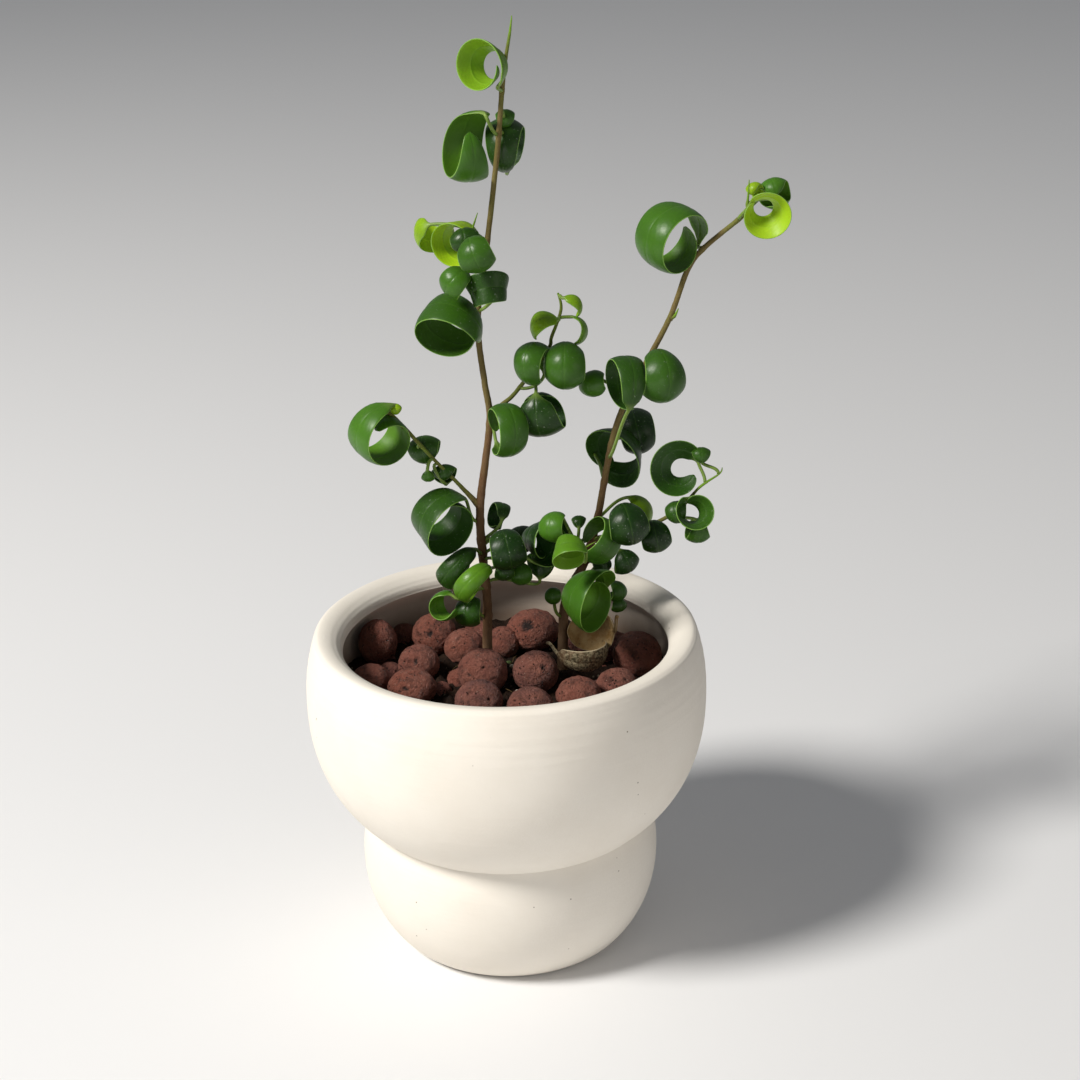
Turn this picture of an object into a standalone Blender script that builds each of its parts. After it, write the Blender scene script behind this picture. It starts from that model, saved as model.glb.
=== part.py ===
"""Potted ficus: two slender curly-leaved stems in a two-tier clay pot, topped with clay pebbles.

Units are metres, +Z is up and the front faces -Y. The origin is the centre of the pot's flat base.
The plant's own tables are in millimetres, measured from the top of the soil.
"""
import math

import bmesh
import bpy
from mathutils import Vector, noise

MM = 0.001

# ---- pot -------------------------------------------------------------------------------------
POT_HEIGHT = 0.1007
BOWL_RADIUS = 0.0600            # widest ring of the upper tier
BOWL_BELLY_DROP = 0.0205        # how far below the rim that ring is
BOWL_ROUNDNESS = 2.29           # 2 is an ellipse, more is squarer
LIP_INSET = 0.0030              # from the widest ring in to where the bowl turns over into the lip
LIP_WIDTH = 0.0084              # from there in to the mouth
LIP_SLOPE = 0.0053              # how far the lip falls from its top to the mouth
LIP_TURN = 0.0008               # how far below the rim the lip starts
CREASE_INSET = 0.0169           # from the widest ring in to the sharp waist between the tiers
CREASE_HEIGHT = 0.0415
FOOT_BULGE = 0.0021             # how far the lower tier swells out from the waist
FOOT_BELLY_DROP = 0.0132        # how far below the waist the lower tier is widest
FOOT_ROUNDNESS = 2.13
BASE_INSET = 0.0117             # from the lower tier's widest ring in to the flat it stands on
WALL = 0.0055
FLOOR = 0.0065
POT_SEGMENTS = 40
CORE_RADIUS = 0.0040            # small flat disc that closes each turned end
LIP_CROWN = (0.0020, 0.0015)    # how far in and how far above the rim the lip's curve aims
FOOT_EDGE = (0.0010, 0.0006)    # width and height of the softened edge the pot stands on
FOOT_START = 0.0030             # height where the lower tier's curve starts
CREASE_ROUND = 0.0012           # how far above the waist the upper tier's curve starts
SHOULDER_DROP = 0.0040          # how far below the rim that curve ends
UNDER_LIP = 0.0070              # how far below the mouth the inside wall starts
WAIST_BLEND = (0.0040, 0.0020, 0.0100)  # above, below and well below the waist, inside
FLOOR_BLEND = (0.0040, 0.0030)  # rise and width of the inside corner at the floor

LIP_RADIUS = BOWL_RADIUS - LIP_INSET
MOUTH_RADIUS = LIP_RADIUS - LIP_WIDTH
CREASE_RADIUS = BOWL_RADIUS - CREASE_INSET
FOOT_RADIUS = CREASE_RADIUS + FOOT_BULGE
BASE_RADIUS = FOOT_RADIUS - BASE_INSET
BOWL_BELLY_HEIGHT = POT_HEIGHT - BOWL_BELLY_DROP
FOOT_BELLY_HEIGHT = CREASE_HEIGHT - FOOT_BELLY_DROP

# ---- soil and pebbles ------------------------------------------------------------------------
GAP = 0.0003                    # clearance between pieces that touch
SOIL_GAP = 0.00036              # the soil's clearance from the wall and the stems' feet
SOIL_DEPTH_BELOW_RIM = 0.0242
SOIL_HEIGHT = POT_HEIGHT - SOIL_DEPTH_BELOW_RIM
SOCKET_DEPTH = 0.014            # how deep a stem's foot reaches into the soil
SOCKET_OVERRUN = 0.002          # how far the cut for it starts above the soil
PEBBLE_LEVEL = 0.007            # height above the soil where the pebbles meet the wall
PEBBLE_ROUGHNESS = 0.05         # dents, as a share of a pebble's radius
WITHERED_REACH = 0.0083         # how far the pebbles keep from the middle of the withered leaves

# ---- plant -----------------------------------------------------------------------------------
LEFT_FOOT_RADIUS = 0.0016       # stems where they enter the soil
RIGHT_FOOT_RADIUS = 0.0017
STEM_SIDES = 8
PETIOLE_RADIUS = 0.0005
BLADE_THICKNESS = 0.0008
LEAF_SIDES = 6
BLADE_STATIONS = 9
STALK_RISE = 0.6                # how steeply a stalk leaves the bark
STALK_REACH = 0.35              # how far each end of a stalk runs straight, as a share of its length
TIP_TAPER = 0.6                 # how much finer than the stalk the blade's tip is

# Routes of the stems and twigs: points (x, y, height above the soil) and the radius there, in mm
ROUTES = {
    "left": (
        ((-6.0, 14.0, 0.0), 1.6), ((-5.8, 13.5, 14.0), 1.5), ((-5.5, 12.0, 28.0), 1.35),
        ((-6.3, 10.0, 42.0), 1.3), ((-6.8, 8.5, 58.5), 1.25), ((-4.5, 8.0, 76.0), 1.05),
        ((-3.1, 8.0, 87.5), 1.05), ((-4.3, 8.0, 97.5), 0.9), ((-5.7, 8.0, 110.0), 0.9),
        ((-5.7, 8.0, 120.0), 0.85), ((-2.9, 7.5, 137.5), 0.8), ((0.9, 6.5, 166.0), 0.75),
        ((2.7, 6.0, 184.0), 0.7), ((3.7, 6.0, 191.0), 0.55), ((5.0, 6.0, 198.0), 0.4),
        ((5.7, 6.0, 203.0), 0.12),
    ),
    "left_twig": (
        ((-6.7, 8.5, 59.5), 0.75), ((-12.9, 7.0, 67.5), 0.55), ((-20.8, 5.5, 77.0), 0.5),
        ((-27.7, 4.0, 86.0), 0.6), ((-32.3, 3.0, 91.5), 0.7), ((-33.3, 3.0, 93.0), 0.3),
    ),
    "right_twig": (
        ((-3.1, 8.0, 88.0), 0.8), ((0.8, 8.5, 91.5), 0.65), ((4.7, 9.0, 95.0), 0.6),
        ((13.9, 10.0, 107.0), 0.55), ((15.2, 10.0, 111.0), 0.5), ((18.0, 10.0, 119.0), 0.45),
        ((17.2, 10.0, 124.0), 0.3),
    ),
    "right": (
        ((17.0, 18.0, 0.0), 1.7), ((17.4, 17.5, 13.0), 1.6), ((18.4, 16.0, 25.5), 1.45),
        ((24.3, 14.0, 39.5), 1.3), ((28.0, 12.0, 53.5), 1.1), ((31.0, 10.0, 71.5), 0.95),
        ((34.3, 10.0, 85.5), 0.9), ((40.1, 9.0, 98.5), 0.85), ((49.0, 8.0, 116.5), 0.8),
        ((54.0, 8.0, 130.5), 0.8), ((58.7, 8.0, 137.0), 0.75), ((69.5, 7.0, 146.5), 0.65),
        ((70.6, 7.0, 150.0), 0.4), ((71.0, 7.0, 156.5), 0.12),
    ),
    "low_twig": (
        ((26.4, 13.0, 46.5), 0.8), ((36.3, 13.0, 48.5), 0.65), ((45.3, 12.0, 52.0), 0.6),
        ((52.6, 11.0, 57.0), 0.55), ((58.4, 10.0, 64.0), 0.4), ((64.0, 10.0, 68.0), 0.25),
        ((64.9, 10.0, 70.0), 0.12),
    ),
}
STEMS = {"stem_left": ("left", "left_twig", "right_twig"), "stem_right": ("right", "low_twig")}

# Curled leaves of each stem: branch, share of its length where the leaf grows, centre of the curl
# in mm, (heading, tilt) in degrees, (radius of the curl in mm, share of it lost by the tip), (width
# of the blade in mm, how far its margins bend in as a share of its half width, slant in degrees),
# degrees it curls round, and how far its tip slips along the curl's axis in mm. Heading 0 grows to
# the left and rolls down, 90 to the front, 180 to the right, -90 to the back. Slant flares one
# margin out and closes the other in.
LEAVES = {
    "leaf_left": (
        ("left", 0.90, (-1.5, 4.5, 189.5), (-44, 5), (6.3, 0.2), (8.8, 0, 22), 345, 0),
        ("left", 0.84, (-6.5, 4, 167.7), (-68, 4), (9.7, 0.1), (12.0, 0.2, 0), 322, 6),
        ("left", 0.84, (3, 15, 165), (-100, 0), (8.4, 0.2), (9.0, 0.4, 0), 320, 0),
        ("left", 0.69, (-17.5, 19, 139.9), (0, -52), (6.1, 0.2), (8.5, 0.3, 0), 280, 0),
        ("left", 0.64, (-10.5, 7, 140), (-30, -5), (4.8, 0.2), (6.8, 0, 12), 345, 0),
        ("left", 0.64, (-5, -9.5, 140.6), (85, 22), (5.2, 0.3), (10, 0.35, 0), 320, 0),
        ("left", 0.61, (-11.3, -4, 131.4), (58, -34), (4.4, 0.2), (8, 0.3, 0), 280, 0),
        ("left", 0.59, (-2.5, -2, 128), (16, -58), (5.1, 0.1), (9.0, -0.1, -14), 300, 0),
        ("left", 0.58, (-13.3, 3, 117), (-25, -31), (9.0, 0.15), (13.0, 0.15, 8), 345, 0),
        ("right_twig", 0.28, (10, 3.5, 104.4), (62, 5), (5.9, 0.3), (7.6, 0.4, 0), 330, 0),
        ("right_twig", 0.56, (19, 3, 104), (85, 0), (7.2, 0.3), (12.0, 0.5, 0), 340, 0),
        ("right_twig", 0.37, (11.5, 5, 90), (82, 6), (7.4, 0.3), (14.0, 0.35, 0), 340, 0),
        ("left", 0.42, (1.2, -0.5, 86.9), (-58, 3), (8, 0.2), (9, 0.25, 0), 340, 0),
        ("left_twig", 0.96, (-34, 1, 85.5), (36, -12), (9.4, 0.66), (12.0, 0.15, 0), 345, 0),
        ("left_twig", 0.62, (-22.5, 10, 76.7), (80, 10), (4.7, 0.3), (10, 0.4, 0), 320, 0),
        ("left", 0.27, (-17.5, 3, 58), (38, -18), (8.8, 0.36), (12.5, 0.0, 8), 345, 0),
        ("left", 0.22, (-13.5, 3, 42.5), (60, -36), (7.5, 0.2), (7.0, 0.35, 0), 300, 0),
        ("left", 0.18, (-9, -3, 40), (58, -36), (6.8, 0.2), (6.5, 0.35, 0), 300, 0),
        ("left", 0.16, (-17.5, 1, 30.9), (-35, 5), (4.5, 0.2), (7, 0.2, 0), 300, 0),
        ("left", 0.11, (-10.5, 5, 27), (75, 0), (4.8, 0.3), (8.0, 0.3, 0), 300, 0),
        ("left", 0.24, (-1.5, 15.5, 53.3), (-80, 20), (4.5, 0.3), (5.5, 0.2, 0), 320, 0),
        ("left", 0.22, (1, 0.5, 48.6), (100, 10), (6.2, 0.3), (10.5, 0.3, 0), 320, 0),
        ("left", 0.24, (10.5, 9, 48), (15, 8), (6.4, 0.5), (12.0, 0.1, 32), 345, 0),
        ("left", 0.17, (11, 14, 37.5), (-95, 0), (5.2, 0.3), (9.0, 0.4, 0), 300, 0),
    ),
    "leaf_right": (
        ("right", 0.93, (75.3, 4, 148), (180, 10), (4.9, 0.1), (7.8, 0.0, -38), 345, 0),
        ("right", 0.96, (79, 14, 151), (95, 15), (4.5, 0.2), (9.5, 0.4, 0), 320, 0),
        ("right", 0.85, (49.5, 6, 139.7), (36, -9), (10.4, 0.44), (12.5, 0.15, 0), 345, 0),
        ("right", 0.64, (46, 1.5, 100.9), (108, 0), (8, 0.3), (12.5, 0.5, 0), 340, 0),
        ("right", 0.45, (36.2, 1, 98.9), (-70, 5), (8.5, 0.15), (9, 0.2, 0), 325, -3),
        ("right", 0.40, (34.3, 23, 71.1), (-33, -12), (8.4, 0.35), (10, 0.05, 28), 345, 0),
        ("right", 0.47, (40.5, 29, 74.5), (-100, 10), (7.6, 0.3), (10, 0.4, 0), 320, 0),
        ("low_twig", 0.85, (52.5, 12, 68.3), (5, 15), (6.3, 0.2), (10.0, 0.05, 44), 320, 0),
        ("low_twig", 0.68, (56.3, 6, 57.7), (10, 32), (4.3, 0.2), (8.0, 0.0, 28), 345, 0),
        ("low_twig", 0.54, (58, 13, 49.5), (95, 0), (4.2, 0.3), (7.5, 0.4, 0), 300, 0),
        ("right", 0.29, (36.5, 0, 56.2), (100, 10), (6.5, 0.3), (12, 0.45, 0), 330, 0),
        ("right", 0.33, (39, 19, 52.3), (160, 10), (5.8, 0.3), (9, 0.3, 0), 320, 0),
        ("right", 0.26, (15.5, 3, 54.5), (60, 5), (4.7, 0.3), (8.0, 0.3, 0), 300, 0),
        ("right", 0.24, (19.5, -9.5, 52.2), (0, -36), (4.1, 0.2), (7, 0, 14), 345, 0),
        ("right", 0.29, (28, 4, 50.3), (-60, 41), (6, 0.2), (7.2, 0.2, 0), 345, 0),
        ("right", 0.27, (45, 5.5, 50), (95, 10), (5, 0.3), (9, 0.4, 0), 300, 0),
        ("right", 0.20, (24.3, 2, 32.5), (48, -3), (8.8, 0.3), (12.0, 0.1, 15), 345, 0),
    ),
}

# Withered leaves at the right stem's foot: end of the stalk in place of a branch, then as above
WITHERED = (
    ((33.8, 9.5, 22.5), (25.6, 11.5, 17.0), (180, 68), (7.6, 0.0), (13.0, 0.2, 0), 150, 0),
    ((12.5, 13.5, 12.5), (22.8, 10.5, 12.0), (30, 80), (8.2, 0.05), (7.5, 0.25, 0), 185, 0),
)

# Clay pebbles: x, y in mm, width and height in mm
PEBBLES = (
    (-42.5, 27.0, 12.8, 16.0), (-23.0, 33.0, 15.0, 14.0), (-27.0, 13.0, 13.5, 12.5),
    (-41.0, 3.0, 12.5, 11.0), (-28.5, -3.0, 15.5, 12.0), (-7.0, 5.0, 16.0, 15.0),
    (-8.0, -15.0, 15.0, 13.5), (9.0, 4.0, 14.5, 14.0), (7.0, -18.0, 14.5, 12.5),
    (22.0, -12.0, 14.5, 13.0), (32.5, -4.5, 13.5, 11.5), (40.0, 14.5, 16.0, 15.0),
    (8.0, 35.0, 17.0, 14.0),
)


def clear_scene():
    for obj in list(bpy.data.objects):
        bpy.data.objects.remove(obj, do_unlink=True)


def make_material(name, colour, roughness):
    material = bpy.data.materials.new(name)
    material.use_nodes = True
    shader = material.node_tree.nodes["Principled BSDF"]
    shader.inputs["Base Color"].default_value = (*colour, 1.0)
    shader.inputs["Roughness"].default_value = roughness
    shader.inputs["Metallic"].default_value = 0.0
    return material


def make_object(name, rings, material, smooth_angle=40.0):
    """A closed skin over rings of equal length, each end shut by a face."""
    mesh = bpy.data.meshes.new(name)
    skin = bmesh.new()
    rows = [[skin.verts.new(point) for point in ring] for ring in rings]
    count = len(rings[0])
    for low, high in zip(rows, rows[1:]):
        for i in range(count):
            j = (i + 1) % count
            skin.faces.new((low[i], low[j], high[j], high[i]))
    skin.faces.new(tuple(reversed(rows[0])))
    skin.faces.new(tuple(rows[-1]))
    bmesh.ops.recalc_face_normals(skin, faces=skin.faces)
    if skin.calc_volume(signed=True) < 0.0:
        bmesh.ops.reverse_faces(skin, faces=skin.faces)
    skin.to_mesh(mesh)
    skin.free()
    mesh.shade_smooth()
    mesh.set_sharp_from_angle(angle=math.radians(smooth_angle))
    obj = bpy.data.objects.new(name, mesh)
    bpy.context.scene.collection.objects.link(obj)
    obj.data.materials.append(material)
    return obj


def turned_rings(profile, segments):
    """Circles about Z, one for each (radius, height) of the profile."""
    rings = []
    for radius, height in profile:
        ring = []
        for i in range(segments):
            angle = 2.0 * math.pi * i / segments
            ring.append((radius * math.cos(angle), radius * math.sin(angle), height))
        rings.append(ring)
    return rings


# ---- pot and soil ----------------------------------------------------------------------------
def belly_reach(belly_radius, end_radius, height, roundness):
    """Half height of the superellipse that falls from the belly to end_radius over height."""
    return height / (1.0 - (end_radius / belly_radius) ** roundness) ** (1.0 / roundness)


def belly_radius_at(height, belly_radius, belly_height, low, high, roundness):
    """Radius of a tier at a height. low and high are the (radius, height) of its two ends."""
    end_radius, end_height = low if height < belly_height else high
    reach = belly_reach(belly_radius, end_radius, abs(end_height - belly_height), roundness)
    share = abs(height - belly_height) / reach
    return belly_radius * (1.0 - share ** roundness) ** (1.0 / roundness)


def bowl_radius(height):
    ends = ((CREASE_RADIUS, CREASE_HEIGHT), (LIP_RADIUS, POT_HEIGHT - LIP_TURN))
    return belly_radius_at(height, BOWL_RADIUS, BOWL_BELLY_HEIGHT, *ends, BOWL_ROUNDNESS)


def foot_radius(height):
    ends = ((BASE_RADIUS, 0.0), (CREASE_RADIUS, CREASE_HEIGHT))
    return belly_radius_at(height, FOOT_RADIUS, FOOT_BELLY_HEIGHT, *ends, FOOT_ROUNDNESS)


def outer_radius(height):
    return foot_radius(height) if height < CREASE_HEIGHT else bowl_radius(height)


def spread(low, high, count):
    return [low + (high - low) * i / (count - 1) for i in range(count)]


def lip_curve():
    """The lip, from the bowl's shoulder over its top and down to the mouth."""
    start = Vector((LIP_RADIUS, POT_HEIGHT - LIP_TURN))
    crown = Vector((LIP_RADIUS - LIP_CROWN[0], POT_HEIGHT + LIP_CROWN[1]))
    slope = Vector((MOUTH_RADIUS, POT_HEIGHT - 0.3 * LIP_SLOPE))
    mouth = Vector((MOUTH_RADIUS, POT_HEIGHT - LIP_SLOPE))
    points = []
    for t in spread(0.0, 1.0, 7):
        s = 1.0 - t
        point = s ** 3 * start + 3 * s * s * t * crown + 3 * s * t * t * slope + t ** 3 * mouth
        points.append((point.x, point.y))
    return points


def inner_profile():
    """The pot's inside from under the lip to the floor, with the walls' thickness kept."""
    above, below, well_below = WAIST_BLEND
    heights = spread(POT_HEIGHT - LIP_SLOPE - UNDER_LIP, CREASE_HEIGHT + above, 6)
    heights += [CREASE_HEIGHT - below]
    heights += spread(CREASE_HEIGHT - well_below, FLOOR + FLOOR_BLEND[0], 4)
    points = [(outer_radius(height) - WALL, height) for height in heights]
    points.append((outer_radius(FLOOR) - WALL - FLOOR_BLEND[1], FLOOR))
    return points


def make_pot():
    clay = make_material("cream_clay", (0.83, 0.79, 0.72), 0.7)
    profile = [(CORE_RADIUS, 0.0), (BASE_RADIUS - FOOT_EDGE[0], 0.0), (BASE_RADIUS, FOOT_EDGE[1])]
    profile += [(foot_radius(height), height) for height in spread(FOOT_START, CREASE_HEIGHT, 9)]
    profile += [(bowl_radius(height), height) for height in
                spread(CREASE_HEIGHT + CREASE_ROUND, POT_HEIGHT - SHOULDER_DROP, 13)]
    profile += lip_curve() + inner_profile() + [(CORE_RADIUS, FLOOR)]
    return make_object("pot", turned_rings(profile, POT_SEGMENTS), clay)


def make_soil():
    earth = make_material("soil", (0.05, 0.035, 0.025), 0.95)
    walls = [point for point in reversed(inner_profile()) if point[1] < SOIL_HEIGHT - MM]
    profile = [(CORE_RADIUS, FLOOR + GAP)]
    profile += [(radius - SOIL_GAP, max(height, FLOOR + GAP)) for radius, height in walls]
    profile += [(outer_radius(SOIL_HEIGHT) - WALL - SOIL_GAP, SOIL_HEIGHT)]
    profile += [(CORE_RADIUS, SOIL_HEIGHT)]
    soil = make_object("soil", turned_rings(profile, POT_SEGMENTS), earth)
    for route, radius in (("left", LEFT_FOOT_RADIUS), ("right", RIGHT_FOOT_RADIUS)):
        foot = stem_point(ROUTES[route][0][0])
        bottom = SOIL_HEIGHT - SOCKET_DEPTH - GAP
        socket = [(radius + SOIL_GAP, bottom), (radius + SOIL_GAP, SOIL_HEIGHT + SOCKET_OVERRUN)]
        cutter = make_object("socket_" + route, turned_rings(socket, STEM_SIDES), earth)
        cutter.location = (foot.x, foot.y, 0.0)
        cutter.hide_render = True
        cutter.display_type = "WIRE"
        cut = soil.modifiers.new("socket_" + route, "BOOLEAN")
        cut.operation = "DIFFERENCE"
        cut.object = cutter
    return soil


# ---- pebbles ---------------------------------------------------------------------------------
def settled_pebbles():
    """Pebble places after they have pushed off the wall, each other and what stands among them."""
    inside = outer_radius(SOIL_HEIGHT + PEBBLE_LEVEL) - WALL - GAP
    kept_clear = [(stem_point(ROUTES["left"][0][0]).xy, LEFT_FOOT_RADIUS + 2.0 * GAP),
                  (stem_point(ROUTES["right"][0][0]).xy, RIGHT_FOOT_RADIUS + 2.0 * GAP),
                  (stem_point(WITHERED[1][1]).xy, WITHERED_REACH)]
    places = [Vector((x * MM, y * MM)) for x, y, width, height in PEBBLES]
    radii = [width * MM / 2.0 for x, y, width, height in PEBBLES]
    for step in range(400):
        for i, place in enumerate(places):
            for j in range(i):
                apart = place - places[j]
                lack = radii[i] + radii[j] + GAP - apart.length
                if lack > 0.0:
                    push = apart.normalized() * (lack * 0.5)
                    place += push
                    places[j] -= push
            for spot, reach in kept_clear:
                apart = place - spot
                lack = radii[i] + reach - apart.length
                if lack > 0.0:
                    place += apart.normalized() * lack
            lack = place.length + radii[i] - inside
            if lack > 0.0:
                place -= place.normalized() * lack
    return zip(places, radii)


def make_pebbles():
    fired = make_material("fired_clay", (0.22, 0.075, 0.05), 0.85)
    stations = spread(-80.0, 80.0, 7)
    sides = 12
    for index, (place, radius) in enumerate(settled_pebbles()):
        tall = PEBBLES[index][3] * MM / 2.0
        centre = Vector((place.x, place.y, SOIL_HEIGHT + GAP + tall))
        seed = Vector((index * 3.7, 1.3, 5.1))
        rings = []
        for latitude in stations:
            around = math.cos(math.radians(latitude))
            up = math.sin(math.radians(latitude))
            ring = []
            for i in range(sides):
                angle = 2.0 * math.pi * i / sides
                way = Vector((around * math.cos(angle), around * math.sin(angle), up))
                dent = 1.0 - PEBBLE_ROUGHNESS * (0.5 + 0.5 * noise.noise(way * 1.3 + seed))
                ring.append(centre + Vector((way.x * radius, way.y * radius, way.z * tall)) * dent)
            rings.append(ring)
        make_object("pebble_%02d" % (index + 1), rings, fired, 60.0)


# ---- stems -----------------------------------------------------------------------------------
def stem_point(point):
    return Vector(point) * MM + Vector((0.0, 0.0, SOIL_HEIGHT))


def smooth_route(stations, steps):
    """A Catmull-Rom curve through (point, radius) stations, as a list of (point, radius)."""
    knots = [(stem_point(point), radius * MM) for point, radius in stations]
    curve = []
    last = len(knots) - 1
    for i in range(last):
        before, start = knots[max(i - 1, 0)][0], knots[i][0]
        end, after = knots[i + 1][0], knots[min(i + 2, last)][0]
        for k in range(steps):
            t = k / steps
            bend = (2.0 * before - 5.0 * start + 4.0 * end - after) * t * t
            twist = (3.0 * start - before - 3.0 * end + after) * t * t * t
            point = 0.5 * (2.0 * start + (end - before) * t + bend + twist)
            radius = knots[i][1] + (knots[i + 1][1] - knots[i][1]) * t
            curve.append((point, radius))
    curve.append(knots[last])
    return curve


def tube_rings(curve, sides):
    """Rings square to the curve, carried along it without twisting."""
    rings = []
    side = None
    for i, (point, radius) in enumerate(curve):
        before = curve[max(i - 1, 0)][0]
        after = curve[min(i + 1, len(curve) - 1)][0]
        ahead = (after - before).normalized()
        if side is None:
            side = Vector((1.0, 0.0, 0.0))
        side = (side - ahead * side.dot(ahead)).normalized()
        other = ahead.cross(side)
        ring = []
        for k in range(sides):
            angle = 2.0 * math.pi * k / sides
            ring.append(point + radius * (math.cos(angle) * side + math.sin(angle) * other))
        rings.append(ring)
    return rings


def rooted(route, radius):
    """The route with a straight foot of even radius added below the soil."""
    foot = route[0][0]
    deep = Vector((foot.x, foot.y, SOIL_HEIGHT - SOCKET_DEPTH))
    level = Vector((foot.x, foot.y, SOIL_HEIGHT + 2.0 * GAP))
    return [(deep, radius), (level, radius)] + route[1:]


def make_stems():
    bark = make_material("bark", (0.20, 0.11, 0.05), 0.75)
    feet = {"left": LEFT_FOOT_RADIUS, "right": RIGHT_FOOT_RADIUS}
    for name, branches in STEMS.items():
        trunk_route = rooted(smooth_route(ROUTES[branches[0]], 2), feet[branches[0]])
        trunk = make_object(name, tube_rings(trunk_route, STEM_SIDES), bark)
        for branch in branches[1:]:
            twig_rings = tube_rings(smooth_route(ROUTES[branch], 2), STEM_SIDES)
            twig = make_object(branch + "_core", twig_rings, bark)
            twig.hide_render = True
            twig.display_type = "WIRE"
            join = trunk.modifiers.new(branch, "BOOLEAN")
            join.operation = "UNION"
            join.object = twig


# ---- leaves ----------------------------------------------------------------------------------
def point_on_branch(branch, share):
    """Point, direction and radius at a share of the branch's length."""
    curve = smooth_route(ROUTES[branch], 6)
    lengths = [(b[0] - a[0]).length for a, b in zip(curve, curve[1:])]
    left = share * sum(lengths)
    for (start, thick), (end, thin), length in zip(curve, curve[1:], lengths):
        if left <= length:
            t = left / length
            return start.lerp(end, t), (end - start).normalized(), thick + (thin - thick) * t
        left -= length
    return curve[-1][0], (curve[-1][0] - curve[-2][0]).normalized(), curve[-1][1]


def blade_shape(t):
    """Half width of an ovate blade as a share of its greatest, from base to tip."""
    return math.sin(math.pi * t ** 0.85) ** 0.45 if 0.0 < t < 1.0 else 0.0


def stalk_stations(foot, along, outward, base, ahead, axis):
    """The leaf stalk: a bend from its foot on the bark to the blade's base, met head on."""
    length = (base - foot).length
    early = foot + (outward + along * STALK_RISE).normalized() * (length * STALK_REACH)
    late = base - ahead * (length * STALK_REACH)
    points = []
    for t in (0.0, 0.33, 0.7, 1.0):
        s = 1.0 - t
        points.append(s ** 3 * foot + 3 * s * s * t * early + 3 * s * t * t * late + t ** 3 * base)
    stations = []
    side = axis
    for point, after in zip(reversed(points[:-1]), reversed(points[1:])):
        way = (after - point).normalized()
        side = (side - way * side.dot(way)).normalized()
        stations.insert(0, (point, side, way.cross(side), PETIOLE_RADIUS, PETIOLE_RADIUS))
    return stations


def make_leaf(name, root, centre, facing, curls, blade, sweep, slip, material):
    """One leaf: a closed skin from the stalk's foot round the curled blade to its tip.

    root is the point, direction and radius of the branch where the leaf grows.
    """
    middle = stem_point(centre)
    joint, along, thick = root
    turn, lean = (math.radians(angle) for angle in facing)
    axis = Vector((math.sin(turn) * math.cos(lean), -math.cos(turn) * math.cos(lean),
                   math.sin(lean)))
    curl, tuck = curls[0] * MM, curls[1]
    half, arch, slant = blade[0] * MM / 2.0, blade[1], math.radians(blade[2])
    flat = joint - middle
    flat -= axis * flat.dot(axis)
    first = flat.normalized()
    second = axis.cross(first)
    meet = math.acos(min(1.0, curl / flat.length))      # where a line from the stem is tangent

    def on_curl(t):
        angle = meet + math.radians(sweep) * t
        away = math.cos(angle) * first + math.sin(angle) * second
        return middle + away * curl * (1.0 - tuck * t * t) + axis * (slip * MM * (t - 0.5)), away

    base, base_away = on_curl(0.0)
    outward = base - joint
    outward = (outward - along * outward.dot(along)).normalized()
    foot = joint + outward * (thick + 2.0 * GAP)
    stations = [(*station, 0.0) for station in
                stalk_stations(foot, along, outward, base, axis.cross(base_away), axis)]
    for k in range(BLADE_STATIONS + 1):
        t = k / BLADE_STATIONS
        point, away = on_curl(t)
        side = axis * math.cos(slant) + away * math.sin(slant)
        lifted = away * math.cos(slant) - axis * math.sin(slant)
        ends = PETIOLE_RADIUS * (1.0 - TIP_TAPER * t)
        wide = max(half * blade_shape(t), ends)
        bulk = BLADE_THICKNESS / 2.0 if 0.0 < t < 1.0 else ends
        stations.append((point, side, lifted, wide, bulk, arch * wide if wide > ends else 0.0))
    rings = []
    for point, side, away, wide, bulk, bend in stations:
        ring = []
        for k in range(LEAF_SIDES):
            angle = 2.0 * math.pi * k / LEAF_SIDES
            across = math.cos(angle)
            ring.append(point + side * (across * wide)
                        + away * (math.sin(angle) * bulk - bend * across * across))
        rings.append(ring)
    return make_object(name, rings, material, 50.0)


def make_leaves():
    green = make_material("leaf", (0.05, 0.18, 0.03), 0.35)
    for stem, rows in LEAVES.items():
        for number, (branch, share, *curl) in enumerate(rows, 1):
            make_leaf("%s_%02d" % (stem, number), point_on_branch(branch, share), *curl, green)


def make_withered():
    brown = make_material("withered_leaf", (0.28, 0.18, 0.08), 0.8)
    for number, (stalk_end, *curl) in enumerate(WITHERED, 1):
        root = (stem_point(stalk_end), Vector((0.0, 0.0, 1.0)), 0.0)
        make_leaf("withered_leaf_%d" % number, root, *curl, brown)


def main():
    clear_scene()
    make_pot()
    make_soil()
    make_pebbles()
    make_stems()
    make_leaves()
    make_withered()


main()
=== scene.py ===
"""Looks of the potted ficus: clay pot, clay pebbles, earth, bark and curled leaves.

Lengths are metres in the row's frame, +Z up, the front towards -Y. The plant's own tables are in
millimetres above the earth's top, as in the part's design, and everything else is read from the frame.
"""
import math
import random

import bmesh
import bpy
from mathutils import Matrix, Vector, noise


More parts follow.
